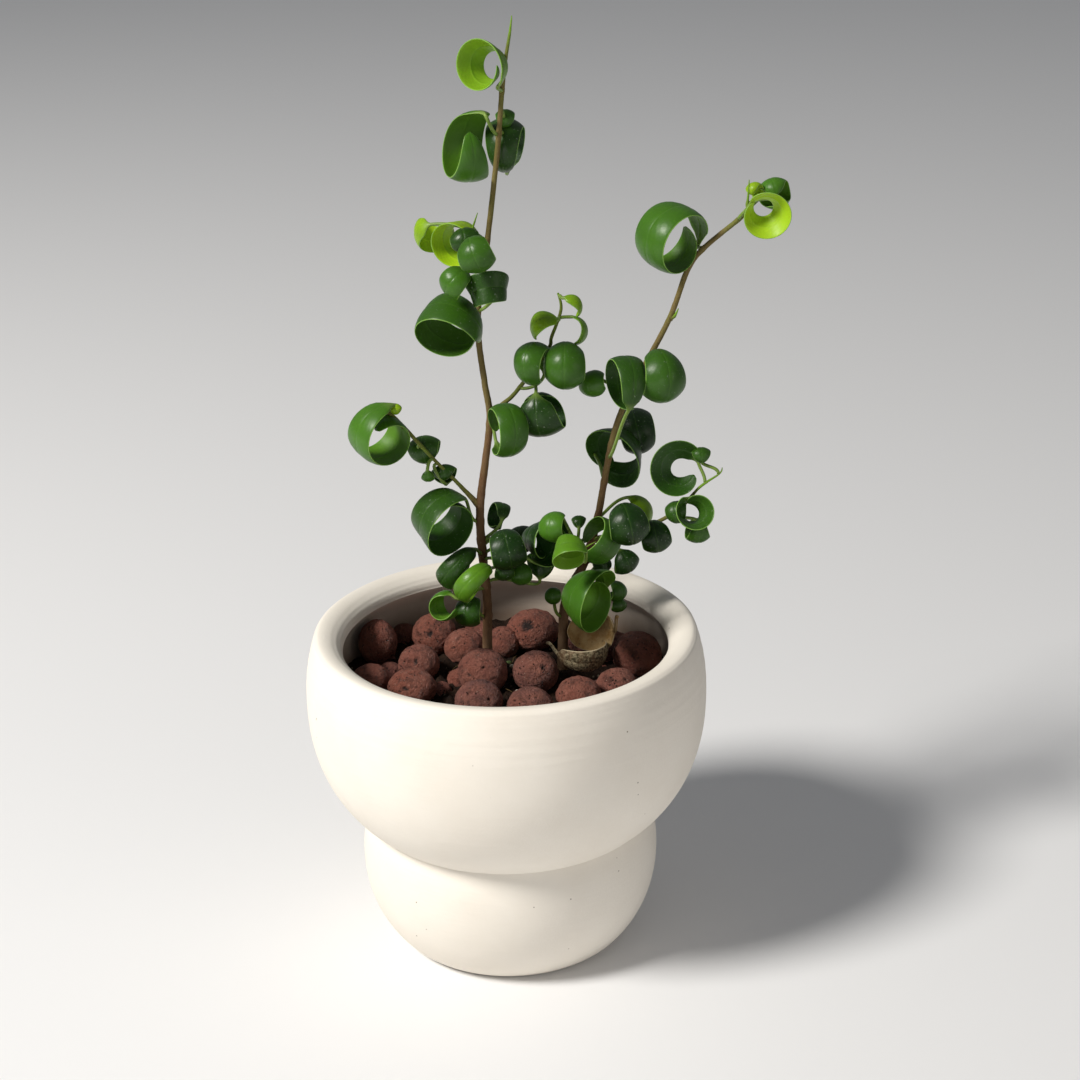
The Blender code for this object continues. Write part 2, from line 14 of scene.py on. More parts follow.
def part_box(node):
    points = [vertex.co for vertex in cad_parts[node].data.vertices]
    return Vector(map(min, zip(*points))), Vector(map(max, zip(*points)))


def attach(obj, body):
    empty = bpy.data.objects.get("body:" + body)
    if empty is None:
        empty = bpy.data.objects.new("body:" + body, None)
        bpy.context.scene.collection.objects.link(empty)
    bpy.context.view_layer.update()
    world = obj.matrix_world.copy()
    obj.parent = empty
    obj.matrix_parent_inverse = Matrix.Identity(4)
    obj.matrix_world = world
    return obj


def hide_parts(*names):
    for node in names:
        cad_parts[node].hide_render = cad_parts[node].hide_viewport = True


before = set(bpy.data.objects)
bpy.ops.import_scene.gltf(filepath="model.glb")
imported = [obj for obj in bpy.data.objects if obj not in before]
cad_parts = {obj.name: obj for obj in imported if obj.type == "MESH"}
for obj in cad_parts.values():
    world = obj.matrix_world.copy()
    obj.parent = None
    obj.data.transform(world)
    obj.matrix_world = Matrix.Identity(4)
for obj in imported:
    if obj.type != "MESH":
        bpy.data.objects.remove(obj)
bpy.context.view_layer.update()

MM = 0.001
EARTH_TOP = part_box("soil")[1].z

# ---- plant ---------------------------------------------------------------------------------------
# Routes of the stems and twigs: points (x, y, height above the earth) and the radius there, in mm
ROUTES = {
    "left": (
        ((-6.0, 14.0, 0.0), 1.6), ((-5.8, 13.5, 14.0), 1.5), ((-5.5, 12.0, 28.0), 1.35),
        ((-6.3, 10.0, 42.0), 1.3), ((-6.8, 8.5, 58.5), 1.25), ((-4.5, 8.0, 76.0), 1.05),
        ((-3.1, 8.0, 87.5), 1.05), ((-4.3, 8.0, 97.5), 0.9), ((-5.7, 8.0, 110.0), 0.9),
        ((-5.7, 8.0, 120.0), 0.85), ((-2.9, 7.5, 137.5), 0.8), ((0.9, 6.5, 166.0), 0.75),
        ((2.7, 6.0, 184.0), 0.7), ((3.7, 6.0, 191.0), 0.55), ((5.0, 6.0, 198.0), 0.4),
        ((5.7, 6.0, 203.0), 0.12),
    ),
    "left_twig": (
        ((-6.7, 8.5, 59.5), 0.75), ((-12.9, 7.0, 67.5), 0.55), ((-20.8, 5.5, 77.0), 0.5),
        ((-27.7, 4.0, 86.0), 0.6), ((-32.3, 3.0, 91.5), 0.7), ((-33.3, 3.0, 93.0), 0.3),
    ),
    "right_twig": (
        ((-3.1, 8.0, 88.0), 0.8), ((0.8, 8.5, 91.5), 0.65), ((4.7, 9.0, 95.0), 0.6),
        ((13.9, 10.0, 107.0), 0.55), ((15.2, 10.0, 111.0), 0.5), ((18.0, 10.0, 119.0), 0.45),
        ((17.2, 10.0, 124.0), 0.3),
    ),
    "right": (
        ((17.0, 18.0, 0.0), 1.7), ((17.4, 17.5, 13.0), 1.6), ((18.4, 16.0, 25.5), 1.45),
        ((24.3, 14.0, 39.5), 1.3), ((28.0, 12.0, 53.5), 1.1), ((31.0, 10.0, 71.5), 0.95),
        ((34.3, 10.0, 85.5), 0.9), ((40.1, 9.0, 98.5), 0.85), ((49.0, 8.0, 116.5), 0.8),
        ((54.0, 8.0, 130.5), 0.8), ((58.7, 8.0, 137.0), 0.75), ((69.5, 7.0, 146.5), 0.65),
        ((70.6, 7.0, 150.0), 0.4), ((71.0, 7.0, 156.5), 0.12),
    ),
    "low_twig": (
        ((26.4, 13.0, 46.5), 0.8), ((36.3, 13.0, 48.5), 0.65), ((45.3, 12.0, 52.0), 0.6),
        ((52.6, 11.0, 57.0), 0.55), ((58.4, 10.0, 64.0), 0.4), ((64.0, 10.0, 68.0), 0.25),
        ((64.9, 10.0, 70.0), 0.12),
    ),
    "stub": (
        ((49.3, 8.0, 116.6), 0.6), ((50.3, 7.6, 117.2), 0.5), ((51.0, 7.4, 118.4), 0.3),
        ((51.5, 7.3, 119.6), 0.12),
    ),
    "sheath": (
        ((-9.0, 7.0, 138.0), 0.12), ((-7.5, 6.0, 142.0), 0.35), ((-6.2, 5.5, 145.5), 0.3),
        ((-5.0, 5.0, 149.0), 0.1),
    ),
    "low_sheath": (
        ((18.5, -3.0, 46.5), 0.2), ((20.0, -6.0, 49.2), 0.4), ((23.5, -6.0, 51.6), 0.3),
        ((27.0, -5.0, 53.2), 0.1),
    ),
}
STEMS = {
    "stem_left": ("left", "left_twig", "right_twig", "sheath"),
    "stem_right": ("right", "low_twig", "stub", "low_sheath"),
}

# Curled leaves of each stem: branch, share of its length where the leaf grows, centre of the curl
# in mm, (heading, tilt) in degrees and sometimes how much further round the curl starts, (radius of
# the curl in mm, share it closes in by), (width of the blade in mm, bend of its edges, slant in
# degrees), how far round it curls, how far the tip slips along the curl's axis in mm, and the tone:
# 0 is a young bright leaf, 1 an old dark one.
# Heading 0 grows to the left and rolls down, 90 to the front, 180 to the right, -90 to the back.
LEAVES = {
    "leaf_left": (
        ("left", 0.90, (-1.5, 4.5, 189.5), (-36, 5), (6.3, 0.42), (8.8, 0, 24), 420, 0, 0.25),
        ("left", 0.84, (-6.5, 4, 167.7), (-68, 4), (9.7, 0.1), (12.0, 0.2, 0), 322, 6, 0.5),
        ("left", 0.84, (3, 15, 165), (82, 0, 110), (8.4, 0.2), (10.5, 0.4, 0), 330, 0, 0.8),
        ("left", 0.69, (-17.5, 19, 139.9), (0, -52), (6.1, 0.2), (8.5, 0.3, 0), 280, 0, 0.05),
        ("left", 0.64, (-10.5, 7, 140), (-30, -5), (6, 0.2), (8.5, 0, 12), 385, 0, 0),
        ("left", 0.64, (-5, -9.5, 140.6), (85, 22), (5.2, 0.3), (10, 0.35, 0), 320, 0, 0.6),
        ("left", 0.61, (-11.3, -4, 131.4), (58, -34), (4.4, 0.2), (8, 0.3, 0), 280, 0, 0.5),
        ("left", 0.59, (-2.5, -2, 128), (16, -58), (5.1, 0.1), (9.0, -0.1, -14), 300, 0, 0.8),
        ("left", 0.58, (-13.3, 3, 117), (-25, -31), (9.0, 0.15), (13.0, 0.15, 8), 375, 0, 0.65),
        ("right_twig", 0.28, (10, 3.5, 104.4), (62, 5), (6.9, 0.3), (9, 0.4, 0), 330, 0, 0.6),
        ("right_twig", 0.56, (19, 3, 104), (85, 0), (7.2, 0.3), (12.0, 0.5, 0), 340, 0, 0.6),
        ("right_twig", 0.37, (11.5, 5, 90), (82, 6), (7.4, 0.3), (14.0, 0.35, 0), 340, 0, 0.85),
        ("left", 0.42, (1.2, -0.5, 86.9), (-65, 3), (8, 0.2), (9, 0.25, 0), 340, 0, 0.6),
        ("left_twig", 0.96, (-34, 1, 85.5), (36, -12), (9.4, 0.66), (12.0, 0.15, 0), 440, 0, 0.4),
        ("left_twig", 0.62, (-22.5, 10, 76.7), (85, 10, 110), (4.7, 0.3), (10, 0.4, 0), 330, 0, 0.7),
        ("left", 0.27, (-17.5, 3, 58), (38, -18), (8.8, 0.36), (12.5, 0.0, 8), 430, 0, 0.75),
        ("left", 0.22, (-13.5, 3, 42.5), (60, -36), (7.5, 0.2), (7.0, 0.35, 0), 300, 0, 0.8),
        ("left", 0.18, (-9, -3, 40), (58, -36), (6.8, 0.2), (6.5, 0.35, 0), 300, 0, 0.3),
        ("left", 0.16, (-17.5, 1, 30.9), (-35, 5), (4.5, 0.2), (7, 0.2, 0), 300, 0, 0.35),
        ("left", 0.11, (-10.5, 5, 27), (75, 0), (4.8, 0.3), (8.0, 0.3, 0), 300, 0, 0.75),
        ("left", 0.24, (-1.5, 15.5, 53.3), (-80, 20), (4.5, 0.3), (5.5, 0.2, 0), 320, 0, 0.8),
        ("left", 0.22, (1, 0.5, 48.6), (100, 10), (6.2, 0.3), (10.5, 0.3, 0), 320, 0, 0.95),
        ("left", 0.24, (10.5, 9, 48), (42, 8), (6.4, 0.5), (12.0, 0.1, 22), 420, 0, 0.9),
        ("left", 0.17, (11, 14, 37.5), (-95, 0), (5.2, 0.3), (9.0, 0.4, 0), 300, 0, 0.8),
    ),
    "leaf_right": (
        ("right", 0.93, (75.3, 4, 148), (180, 10), (4.9, 0.1), (7.8, 0.0, -38), 380, 0, 0.08),
        ("right", 0.96, (79, 14, 151), (95, 15), (4.5, 0.2), (9.5, 0.4, 0), 320, 0, 0.35),
        ("right", 0.85, (49.5, 6, 139.7), (36, -9), (10.4, 0.44), (12.5, 0.15, 0), 415, 0, 0.5),
        ("right", 0.64, (46, 1.5, 100.9), (108, 0), (8, 0.3), (12.5, 0.5, 0), 340, 0, 0.65),
        ("right", 0.45, (36.2, 1, 98.9), (-70, 5), (8.5, 0.15), (9, 0.2, 0), 325, -3, 0.75),
        ("right", 0.40, (34.3, 23, 71.1), (-33, -12, -110), (8.4, 0.3), (11, 0.05, 28), 400, 0, 0.75),
        ("right", 0.47, (40.5, 29, 74.5), (95, 10, 110), (7.6, 0.3), (11, 0.4, 0), 330, 0, 0.95),
        ("low_twig", 0.85, (52.3, 12, 69.0), (5, 15), (6.0, 0.2), (10.0, 0.05, 44), 320, 0, 0.75),
        ("low_twig", 0.68, (56.3, 6, 57.7), (10, 32), (4.3, 0.2), (8.0, 0.0, 28), 380, 0, 0.7),
        ("low_twig", 0.54, (58, 13, 49.5), (95, 0), (4.2, 0.3), (7.5, 0.4, 0), 300, 0, 0.6),
        ("right", 0.29, (36.5, 0, 56.2), (100, 10), (6.5, 0.3), (12, 0.45, 0), 330, 0, 1),
        ("right", 0.33, (39, 19, 52.3), (160, 10), (5.8, 0.3), (9, 0.3, 0), 320, 0, 0.15),
        ("right", 0.26, (15.5, 3, 54.5), (60, 5), (4.7, 0.3), (8.0, 0.3, 0), 300, 0, 0.35),
        ("right", 0.24, (19.5, -9.5, 52.2), (0, -36), (4.6, 0.2), (7.8, 0, 14), 370, 0, 0.3),
        ("right", 0.29, (28, 4, 50.3), (-60, 41), (7, 0.2), (8.5, 0.2, 0), 360, 0, 0.6),
        ("right", 0.27, (45, 5.5, 50), (95, 10), (5, 0.3), (9, 0.4, 0), 300, 0, 0.9),
        ("right", 0.20, (24.3, 2, 32.5), (50, -8), (8.8, 0.35), (12.0, 0.12, 24), 410, 0, 0.5),
    ),
}
# Small leaves and buds between them, in the same terms
LITTLE = (
    ("left", 0.87, (3.2, 12, 173.5), (92, 0, 100), (2.8, 0.3), (5.5, 0.4, 0), 320, 0, 0.6),
    ("left", 0.66, (-8.5, 2, 141.5), (92, 10), (3.8, 0.3), (8.5, 0.4, 0), 300, 0, 0.8),
    ("left_twig", 0.45, (-17, 7.5, 70.3), (92, 10, 100), (3.0, 0.3), (8.0, 0.4, 0), 320, 0, 0.75),
    ("left_twig", 0.50, (-21.5, 3, 72), (85, 0), (2.0, 0.3), (4.0, 0.4, 0), 280, 0, 0.5),
    ("left", 0.21, (0, 2, 41.5), (95, 0), (3.0, 0.3), (6.0, 0.4, 0), 280, 0, 0.8),
    ("left", 0.19, (5, 5, 39), (95, 0), (3.4, 0.3), (6.5, 0.4, 0), 280, 0, 0.55),
    ("right", 0.95, (73, 12, 152), (60, 20), (2.6, 0.3), (5.0, 0.4, 0), 280, 0, 0.0),
    ("right", 0.57, (27.5, 8, 97), (60, 20), (4.0, 0.3), (9.0, 0.4, 0), 300, 0, 0.45),
    ("low_twig", 0.55, (51.5, 8, 56.5), (80, 10), (3.6, 0.3), (6.5, 0.4, 0), 300, 0, 0.7),
    ("right", 0.24, (22.5, 14, 51.5), (-90, 0), (2.3, 0.3), (4.5, 0.4, 0), 280, 0, 0.8),
    ("right", 0.16, (33.5, 14, 29), (130, 0), (3.2, 0.3), (6.0, 0.4, 0), 280, 0, 0.65),
    ("right", 0.20, (29, 13, 38), (110, 0), (2.8, 0.3), (6.0, 0.4, 0), 280, 0, 0.8),
    ("right", 0.12, (14.5, 10, 29.5), (85, 0), (2.6, 0.3), (5.0, 0.4, 0), 280, 0, 0.6),
    ("right", 0.24, (36, 13, 39.5), (110, 20), (4.0, 0.3), (8.5, 0.4, 0), 300, 0, 0.95),
    ("right", 0.14, (34, 13, 25), (120, 0), (2.2, 0.3), (5.5, 0.4, 0), 280, 0, 0.7),
    ("right_twig", 0.98, (20.3, 9, 120), (172, 22), (3.6, 0.0), (5.0, 0.3, 0), 170, 0, 0.15),
    ("right_twig", 0.83, (13.6, 7, 114.5), (15, -24), (4.2, 0.0), (7.5, 0.2, 0), 190, 0, 0.15),
    ("right_twig", 0.83, (21.3, 9, 113), (165, -18), (4.0, 0.0), (6.5, 0.2, 0), 190, 0, 0.25),
    ("left_twig", 0.97, (-30.0, 1.5, 92.6), (90, 0), (1.6, 0.3), (3.6, 0.5, 0), 300, 0, 0.0),
    ("low_twig", 0.95, (58.8, 12, 73.0), (90, 0), (2.5, 0.3), (5.6, 0.4, 0), 320, 0, 0.6),
    ("left", 0.23, (5.5, 18, 44.5), (95, 10, 100), (4.6, 0.3), (9.0, 0.4, 0), 320, 0, 0.9),
)

PETIOLE_RADIUS = 0.5 * MM
BLADE_THICKNESS = 0.55 * MM
STALK_RISE = 0.6                # how steeply a stalk leaves the bark
STALK_STEPS = 12
BLADE_STEPS = 44
# Places across half a blade, from the midrib to the margin
ACROSS = (0.0, 0.03, 0.07, 0.13, 0.24, 0.38, 0.52, 0.66, 0.79, 0.89, 0.95, 0.985, 1.0)

# Withered leaves at the right stem's foot: the stalk's end in place of branch and share, no tone
WITHERED = (
    ((33.8, 9.5, 22.5), (25.6, 11.5, 17.0), (180, 68), (7.6, 0.0), (13.0, 0.2, 0), 150, 0),
    ((12.5, 13.5, 12.5), (22.8, 10.5, 12.0), (30, 80), (8.2, 0.05), (7.5, 0.25, 0), 185, 0),
)
# Scars in the CAD's pebbles: number, and the scar's direction and half width in radii
PEBBLE_SCARS = {
    2: ((-0.15, -0.85, 0.45), 0.20), 3: ((-0.10, -0.85, 0.50), 0.11), 5: ((-0.25, -0.85, 0.45), 0.15),
    6: ((0.05, -0.78, 0.60), 0.09), 8: ((0.35, -0.72, 0.60), 0.14), 13: ((-0.22, -0.72, 0.68), 0.30),
}
# Pebbles sunk among the others: centre, then width, depth and height, in mm above the earth
SUNK_PEBBLES = (
    ((-13.5, 27.0, 5.5), (13.0, 13.0, 12.0)), ((-1.5, 30.5, 5.0), (11.0, 11.0, 11.0)),
    ((33.0, 26.0, 4.5), (13.0, 12.0, 11.0)), ((24.0, 34.0, 4.0), (12.0, 12.0, 10.0)),
    ((-20.0, -19.5, 3.2), (12.0, 11.0, 9.5)), ((-33.0, 41.0, 3.0), (10.0, 9.0, 9.0)),
    ((-14.5, 9.0, 2.5), (8.0, 8.0, 8.0)), ((-20.0, 3.0, 1.5), (7.0, 7.0, 7.0)),
    ((-36.0, 14.5, 2.5), (8.0, 8.0, 8.0)), ((28.0, 1.5, 2.0), (7.0, 7.0, 7.0)),
    ((-15.0, -34.5, 3.5), (13.0, 12.0, 11.5)), ((0.5, -36.5, 3.8), (12.5, 12.5, 12.0)),
    ((15.5, -34.0, 3.5), (13.0, 12.0, 11.5)), ((29.5, -27.0, 3.4), (12.0, 12.0, 11.0)),
    ((-29.0, -27.5, 3.4), (12.0, 12.5, 11.0)), ((-41.0, 5.5, 3.0), (9.0, 9.0, 9.0)),
    ((12.0, 41.5, 3.2), (11.0, 10.0, 9.5)), ((-9.0, 41.0, 3.2), (11.0, 10.5, 9.5)),
    ((-20.5, 35.5, 3.6), (12.0, 11.0, 10.5)), ((42.0, 14.0, 2.8), (8.5, 8.5, 8.5)),
)


# ---- meshes --------------------------------------------------------------------------------------
def skin(name, rings, material, marks=None, sharp_from=None):
    """A closed skin over rings of equal length. marks holds one value for each point of each ring.

    Edges that turn by more than sharp_from degrees stay sharp.
    """
    mesh = bpy.data.meshes.new(name)
    made = bmesh.new()
    rows = [[made.verts.new(point) for point in ring] for ring in rings]
    count = len(rings[0])
    chart = made.loops.layers.uv.new("OFBake")
    pairs = list(zip(rows, rows[1:]))
    for r, (low, high) in enumerate(pairs):
        for i in range(count):
            j = (i + 1) % count
            face = made.faces.new((low[i], low[j], high[j], high[i]))
            for loop, (u, v) in zip(face.loops, ((r, i), (r, i + 1), (r + 1, i + 1), (r + 1, i))):
                loop[chart].uv = (0.04 + 0.94 * u / len(pairs), 0.02 + 0.96 * v / count)
    for k, ring in enumerate((tuple(reversed(rows[0])), tuple(rows[-1]))):
        face = made.faces.new(ring)
        for i, loop in enumerate(face.loops):
            angle = 2.0 * math.pi * i / count
            loop[chart].uv = (0.018 + 0.01 * math.cos(angle), 0.3 + 0.4 * k + 0.01 * math.sin(angle))
    if made.calc_volume(signed=True) < 0.0:
        bmesh.ops.reverse_faces(made, faces=made.faces)
    made.to_mesh(mesh)
    made.free()
    for mark, values in (marks or {}).items():
        layer = mesh.attributes.new(mark, "FLOAT", "POINT")
        layer.data.foreach_set("value", [value for row in values for value in row])
    mesh.shade_smooth()
    if sharp_from:
        mesh.set_sharp_from_angle(angle=math.radians(sharp_from))
    obj = bpy.data.objects.new(name, mesh)
    bpy.context.scene.collection.objects.link(obj)
    obj.data.materials.append(material)
    return obj


def place(obj, slot, *nodes):
    """Puts a finished piece on the one body, in place of its CAD nodes."""
    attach(obj, "root")
    if nodes:
        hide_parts(*nodes)


def joined(parts, name):
    """The parts as one object."""
    first = parts[0]
    with bpy.context.temp_override(active_object=first, object=first, selected_objects=parts,
                                   selected_editable_objects=parts):
        bpy.ops.object.join()
    first.name = name
    return first


def spread(low, high, count):
    return [low + (high - low) * i / (count - 1) for i in range(count)]


def circle(radius, height, count):
    return [Vector((radius * math.cos(2.0 * math.pi * i / count),
                    radius * math.sin(2.0 * math.pi * i / count), height)) for i in range(count)]


# ---- materials -----------------------------------------------------------------------------------
class Finish:
    """A material's nodes, each made by one short call that returns its output."""

    def __init__(self, name, roughness=0.6, specular=0.5):
        self.material = bpy.data.materials.new(name)
        self.material.use_nodes = True
        self.tree = self.material.node_tree
        self.shader = self.tree.nodes["Principled BSDF"]
        self.shader.inputs["Roughness"].default_value = roughness
        self.shader.inputs["Specular IOR Level"].default_value = specular

    def feed(self, socket, value):
        if isinstance(value, bpy.types.NodeSocket):
            self.tree.links.new(value, socket)
        else:
            socket.default_value = value

    def node(self, kind, output, inputs=(), **settings):
        made = self.tree.nodes.new(kind)
        for key, value in settings.items():
            setattr(made, key, value)
        for key, value in dict(inputs).items():
            self.feed(made.inputs[key], value)
        return made.outputs[output]

    def mark(self, name):
        return self.node("ShaderNodeAttribute", "Fac", attribute_name=name)

    def place(self):
        return self.node("ShaderNodeTexCoord", "Object")

    def maths(self, operation, a, b=0.0, c=0.0):
        return self.node("ShaderNodeMath", 0, {0: a, 1: b, 2: c}, operation=operation)

    def noise(self, scale, detail=3.0, rough=0.5, where=None, warp=0.0):
        inputs = {"Scale": scale, "Detail": detail, "Roughness": rough, "Distortion": warp}
        inputs["Vector"] = where or self.place()
        return self.node("ShaderNodeTexNoise", "Fac", inputs)

    def cells(self, scale, where=None):
        inputs = {"Scale": scale, "Vector": where or self.place()}
        return self.node("ShaderNodeTexVoronoi", "Distance", inputs)

    def stretched(self, x, y, z):
        inputs = {"Vector": self.place(), "Scale": (x, y, z)}
        return self.node("ShaderNodeMapping", "Vector", inputs)

    def span(self, value, low, high, to_low=0.0, to_high=1.0):
        inputs = {"Value": value, 1: low, 2: high, 3: to_low, 4: to_high}
        return self.node("ShaderNodeMapRange", "Result", inputs, clamp=True)

    def blend(self, factor, a, b):
        made = self.tree.nodes.new("ShaderNodeMix")
        made.data_type = "RGBA"
        self.feed(made.inputs["Factor"], factor)
        for key, value in ((6, a), (7, b)):
            self.feed(made.inputs[key], (*value, 1.0) if isinstance(value, tuple) else value)
        return made.outputs[2]

    def height(self):
        return self.node("ShaderNodeSeparateXYZ", "Z", {"Vector": self.place()})

    def colour(self, value):
        self.feed(self.shader.inputs["Base Color"], value)

    def gloss(self, value):
        self.feed(self.shader.inputs["Roughness"], value)

    def bump(self, value, distance, strength=1.0):
        inputs = {"Height": value, "Distance": distance, "Strength": strength}
        made = self.node("ShaderNodeBump", "Normal", inputs)
        self.feed(self.shader.inputs["Normal"], made)


def clay_finish():
    """Matte cream clay with throwing rings, rare specks and a stain with painted shade inside above the
    earth.
    """
    finish = Finish("cream_clay", roughness=0.72, specular=0.35)
    mottle = finish.noise(38.0, 5.0, 0.6)
    tint = finish.blend(finish.span(mottle, 0.35, 0.7), (0.80, 0.745, 0.66), (0.84, 0.79, 0.71))
    specks = finish.span(finish.cells(260.0), 0.035, 0.075)
    rare = finish.span(finish.noise(55.0, 1.0), 0.60, 0.64)
    dots = finish.maths("MULTIPLY", finish.maths("SUBTRACT", 1.0, specks), rare)
    tint = finish.blend(dots, tint, (0.20, 0.15, 0.11))
    # Darker brown on the inner wall just above the earth: partly a water stain, partly painted shade.
    level = finish.maths("MULTIPLY_ADD", finish.noise(45.0, 4.0, 0.6), 0.010, finish.height())
    stain_and_painted_shade = finish.span(level, EARTH_TOP + 0.008, EARTH_TOP + 0.024, 0.85, 0.0)
    stain_and_painted_shade = finish.maths("MULTIPLY", stain_and_painted_shade, finish.mark("inside"))
    finish.colour(finish.blend(stain_and_painted_shade, tint, (0.21, 0.125, 0.075)))
    grain = finish.noise(900.0, 4.0, 0.65)
    rings = finish.noise(60.0, 3.0, 0.5, finish.stretched(0.6, 0.6, 14.0))
    both = finish.maths("MULTIPLY_ADD", rings, 0.4, finish.maths("MULTIPLY", grain, 0.35))
    finish.bump(both, 0.0003, 0.55)
    return finish.material


def fired_finish():
    """Expanded clay: rust to purple brown by the pebble's tone; a wrinkled, pitted skin, its pits in
    painted shade.
    """
    finish = Finish("fired_clay", roughness=0.6, specular=0.45)
    tone = finish.mark("tone")
    base = finish.blend(tone, (0.250, 0.070, 0.040), (0.150, 0.062, 0.056))
    patches = finish.span(finish.noise(140.0, 6.0, 0.7), 0.36, 0.64)
    base = finish.blend(patches, base, (0.300, 0.110, 0.074))
    grime = finish.span(finish.noise(330.0, 5.0, 0.75), 0.50, 0.66, 0.0, 0.75)
    base = finish.blend(grime, base, (0.055, 0.020, 0.014))
    dust = finish.span(finish.noise(800.0, 4.0, 0.75), 0.60, 0.70, 0.0, 0.5)
    base = finish.blend(dust, base, (0.42, 0.22, 0.165))
    # Pores painted near black over the bump's dents: painted shade in the holes.
    pores = finish.span(finish.cells(800.0), 0.10, 0.26)
    sparse = finish.span(finish.noise(260.0, 2.0), 0.48, 0.54)
    holes = finish.maths("MULTIPLY", finish.maths("SUBTRACT", 1.0, pores), sparse)
    base = finish.blend(holes, base, (0.030, 0.012, 0.009))
    glints = finish.span(finish.cells(560.0), 0.06, 0.09)
    glints = finish.maths("MULTIPLY", finish.maths("SUBTRACT", 1.0, glints), 0.8)
    base = finish.blend(glints, base, (0.55, 0.40, 0.32))
    # Pits and scars of the skin painted near black: painted shade in the dents.
    finish.colour(finish.blend(finish.mark("pit"), base, (0.020, 0.009, 0.007)))
    finish.gloss(finish.span(finish.noise(300.0, 3.0), 0.35, 0.65, 0.42, 0.72))
    wrinkle = finish.maths("MULTIPLY_ADD", finish.noise(430.0, 4.0, 0.6, warp=1.2), 0.55,
                           finish.noise(1250.0, 5.0, 0.7, warp=0.8))
    rough = finish.maths("MULTIPLY_ADD", holes, -0.9, wrinkle)
    finish.bump(rough, 0.0014, 1.0)
    return finish.material


def earth_finish():
    """Near black potting mix with crumbs and rare pale bits."""
    finish = Finish("dark_earth", roughness=0.95, specular=0.15)
    clumps = finish.span(finish.noise(330.0, 6.0, 0.75), 0.35, 0.7)
    base = finish.blend(clumps, (0.008, 0.005, 0.004), (0.052, 0.028, 0.017))
    crumbs = finish.span(finish.cells(620.0), 0.0, 0.32)
    rare = finish.span(finish.noise(170.0, 2.0), 0.58, 0.64)
    pale = finish.maths("MULTIPLY", finish.maths("SUBTRACT", 1.0, crumbs), rare)
    finish.colour(finish.blend(pale, base, (0.33, 0.27, 0.19)))
    finish.bump(finish.noise(700.0, 8.0, 0.8), 0.0016, 1.0)
    return finish.material


def bark_finish():
    """Bark by age: green at the tips, olive, tan, then brown and scaly at the foot."""
    finish = Finish("bark", roughness=0.75, specular=0.15)
    age = finish.mark("age")
    wander = finish.noise(210.0, 4.0, 0.6, finish.stretched(1.0, 1.0, 0.35))
    age = finish.maths("ADD", age, finish.span(wander, 0.3, 0.7, -0.10, 0.10))
    shade = finish.blend(finish.span(age, 0.0, 0.14), (0.16, 0.30, 0.025), (0.15, 0.17, 0.035))
    shade = finish.blend(finish.span(age, 0.16, 0.34), shade, (0.155, 0.118, 0.040))
    shade = finish.blend(finish.span(age, 0.42, 0.60), shade, (0.145, 0.078, 0.037))
    shade = finish.blend(finish.span(age, 0.80, 1.0), shade, (0.20, 0.125, 0.072))
    streaks = finish.span(finish.noise(650.0, 4.0, 0.7, finish.stretched(1.0, 1.0, 0.2)), 0.5, 0.75)
    strong = finish.maths("MULTIPLY", streaks, finish.span(age, 0.1, 0.8, 0.15, 0.65))
    shade = finish.blend(strong, shade, (0.175, 0.110, 0.066))
    spots = finish.span(finish.cells(900.0, where=finish.stretched(1.0, 1.0, 0.45)), 0.06, 0.2)
    spots = finish.maths("MULTIPLY", finish.maths("SUBTRACT", 1.0, spots), 0.45)
    shade = finish.blend(spots, shade, (0.25, 0.18, 0.12))
    finish.colour(shade)
    scale = finish.noise(900.0, 6.0, 0.7, finish.stretched(1.0, 1.0, 0.4))
    finish.bump(scale, 0.0005, 0.9)
    return finish.material


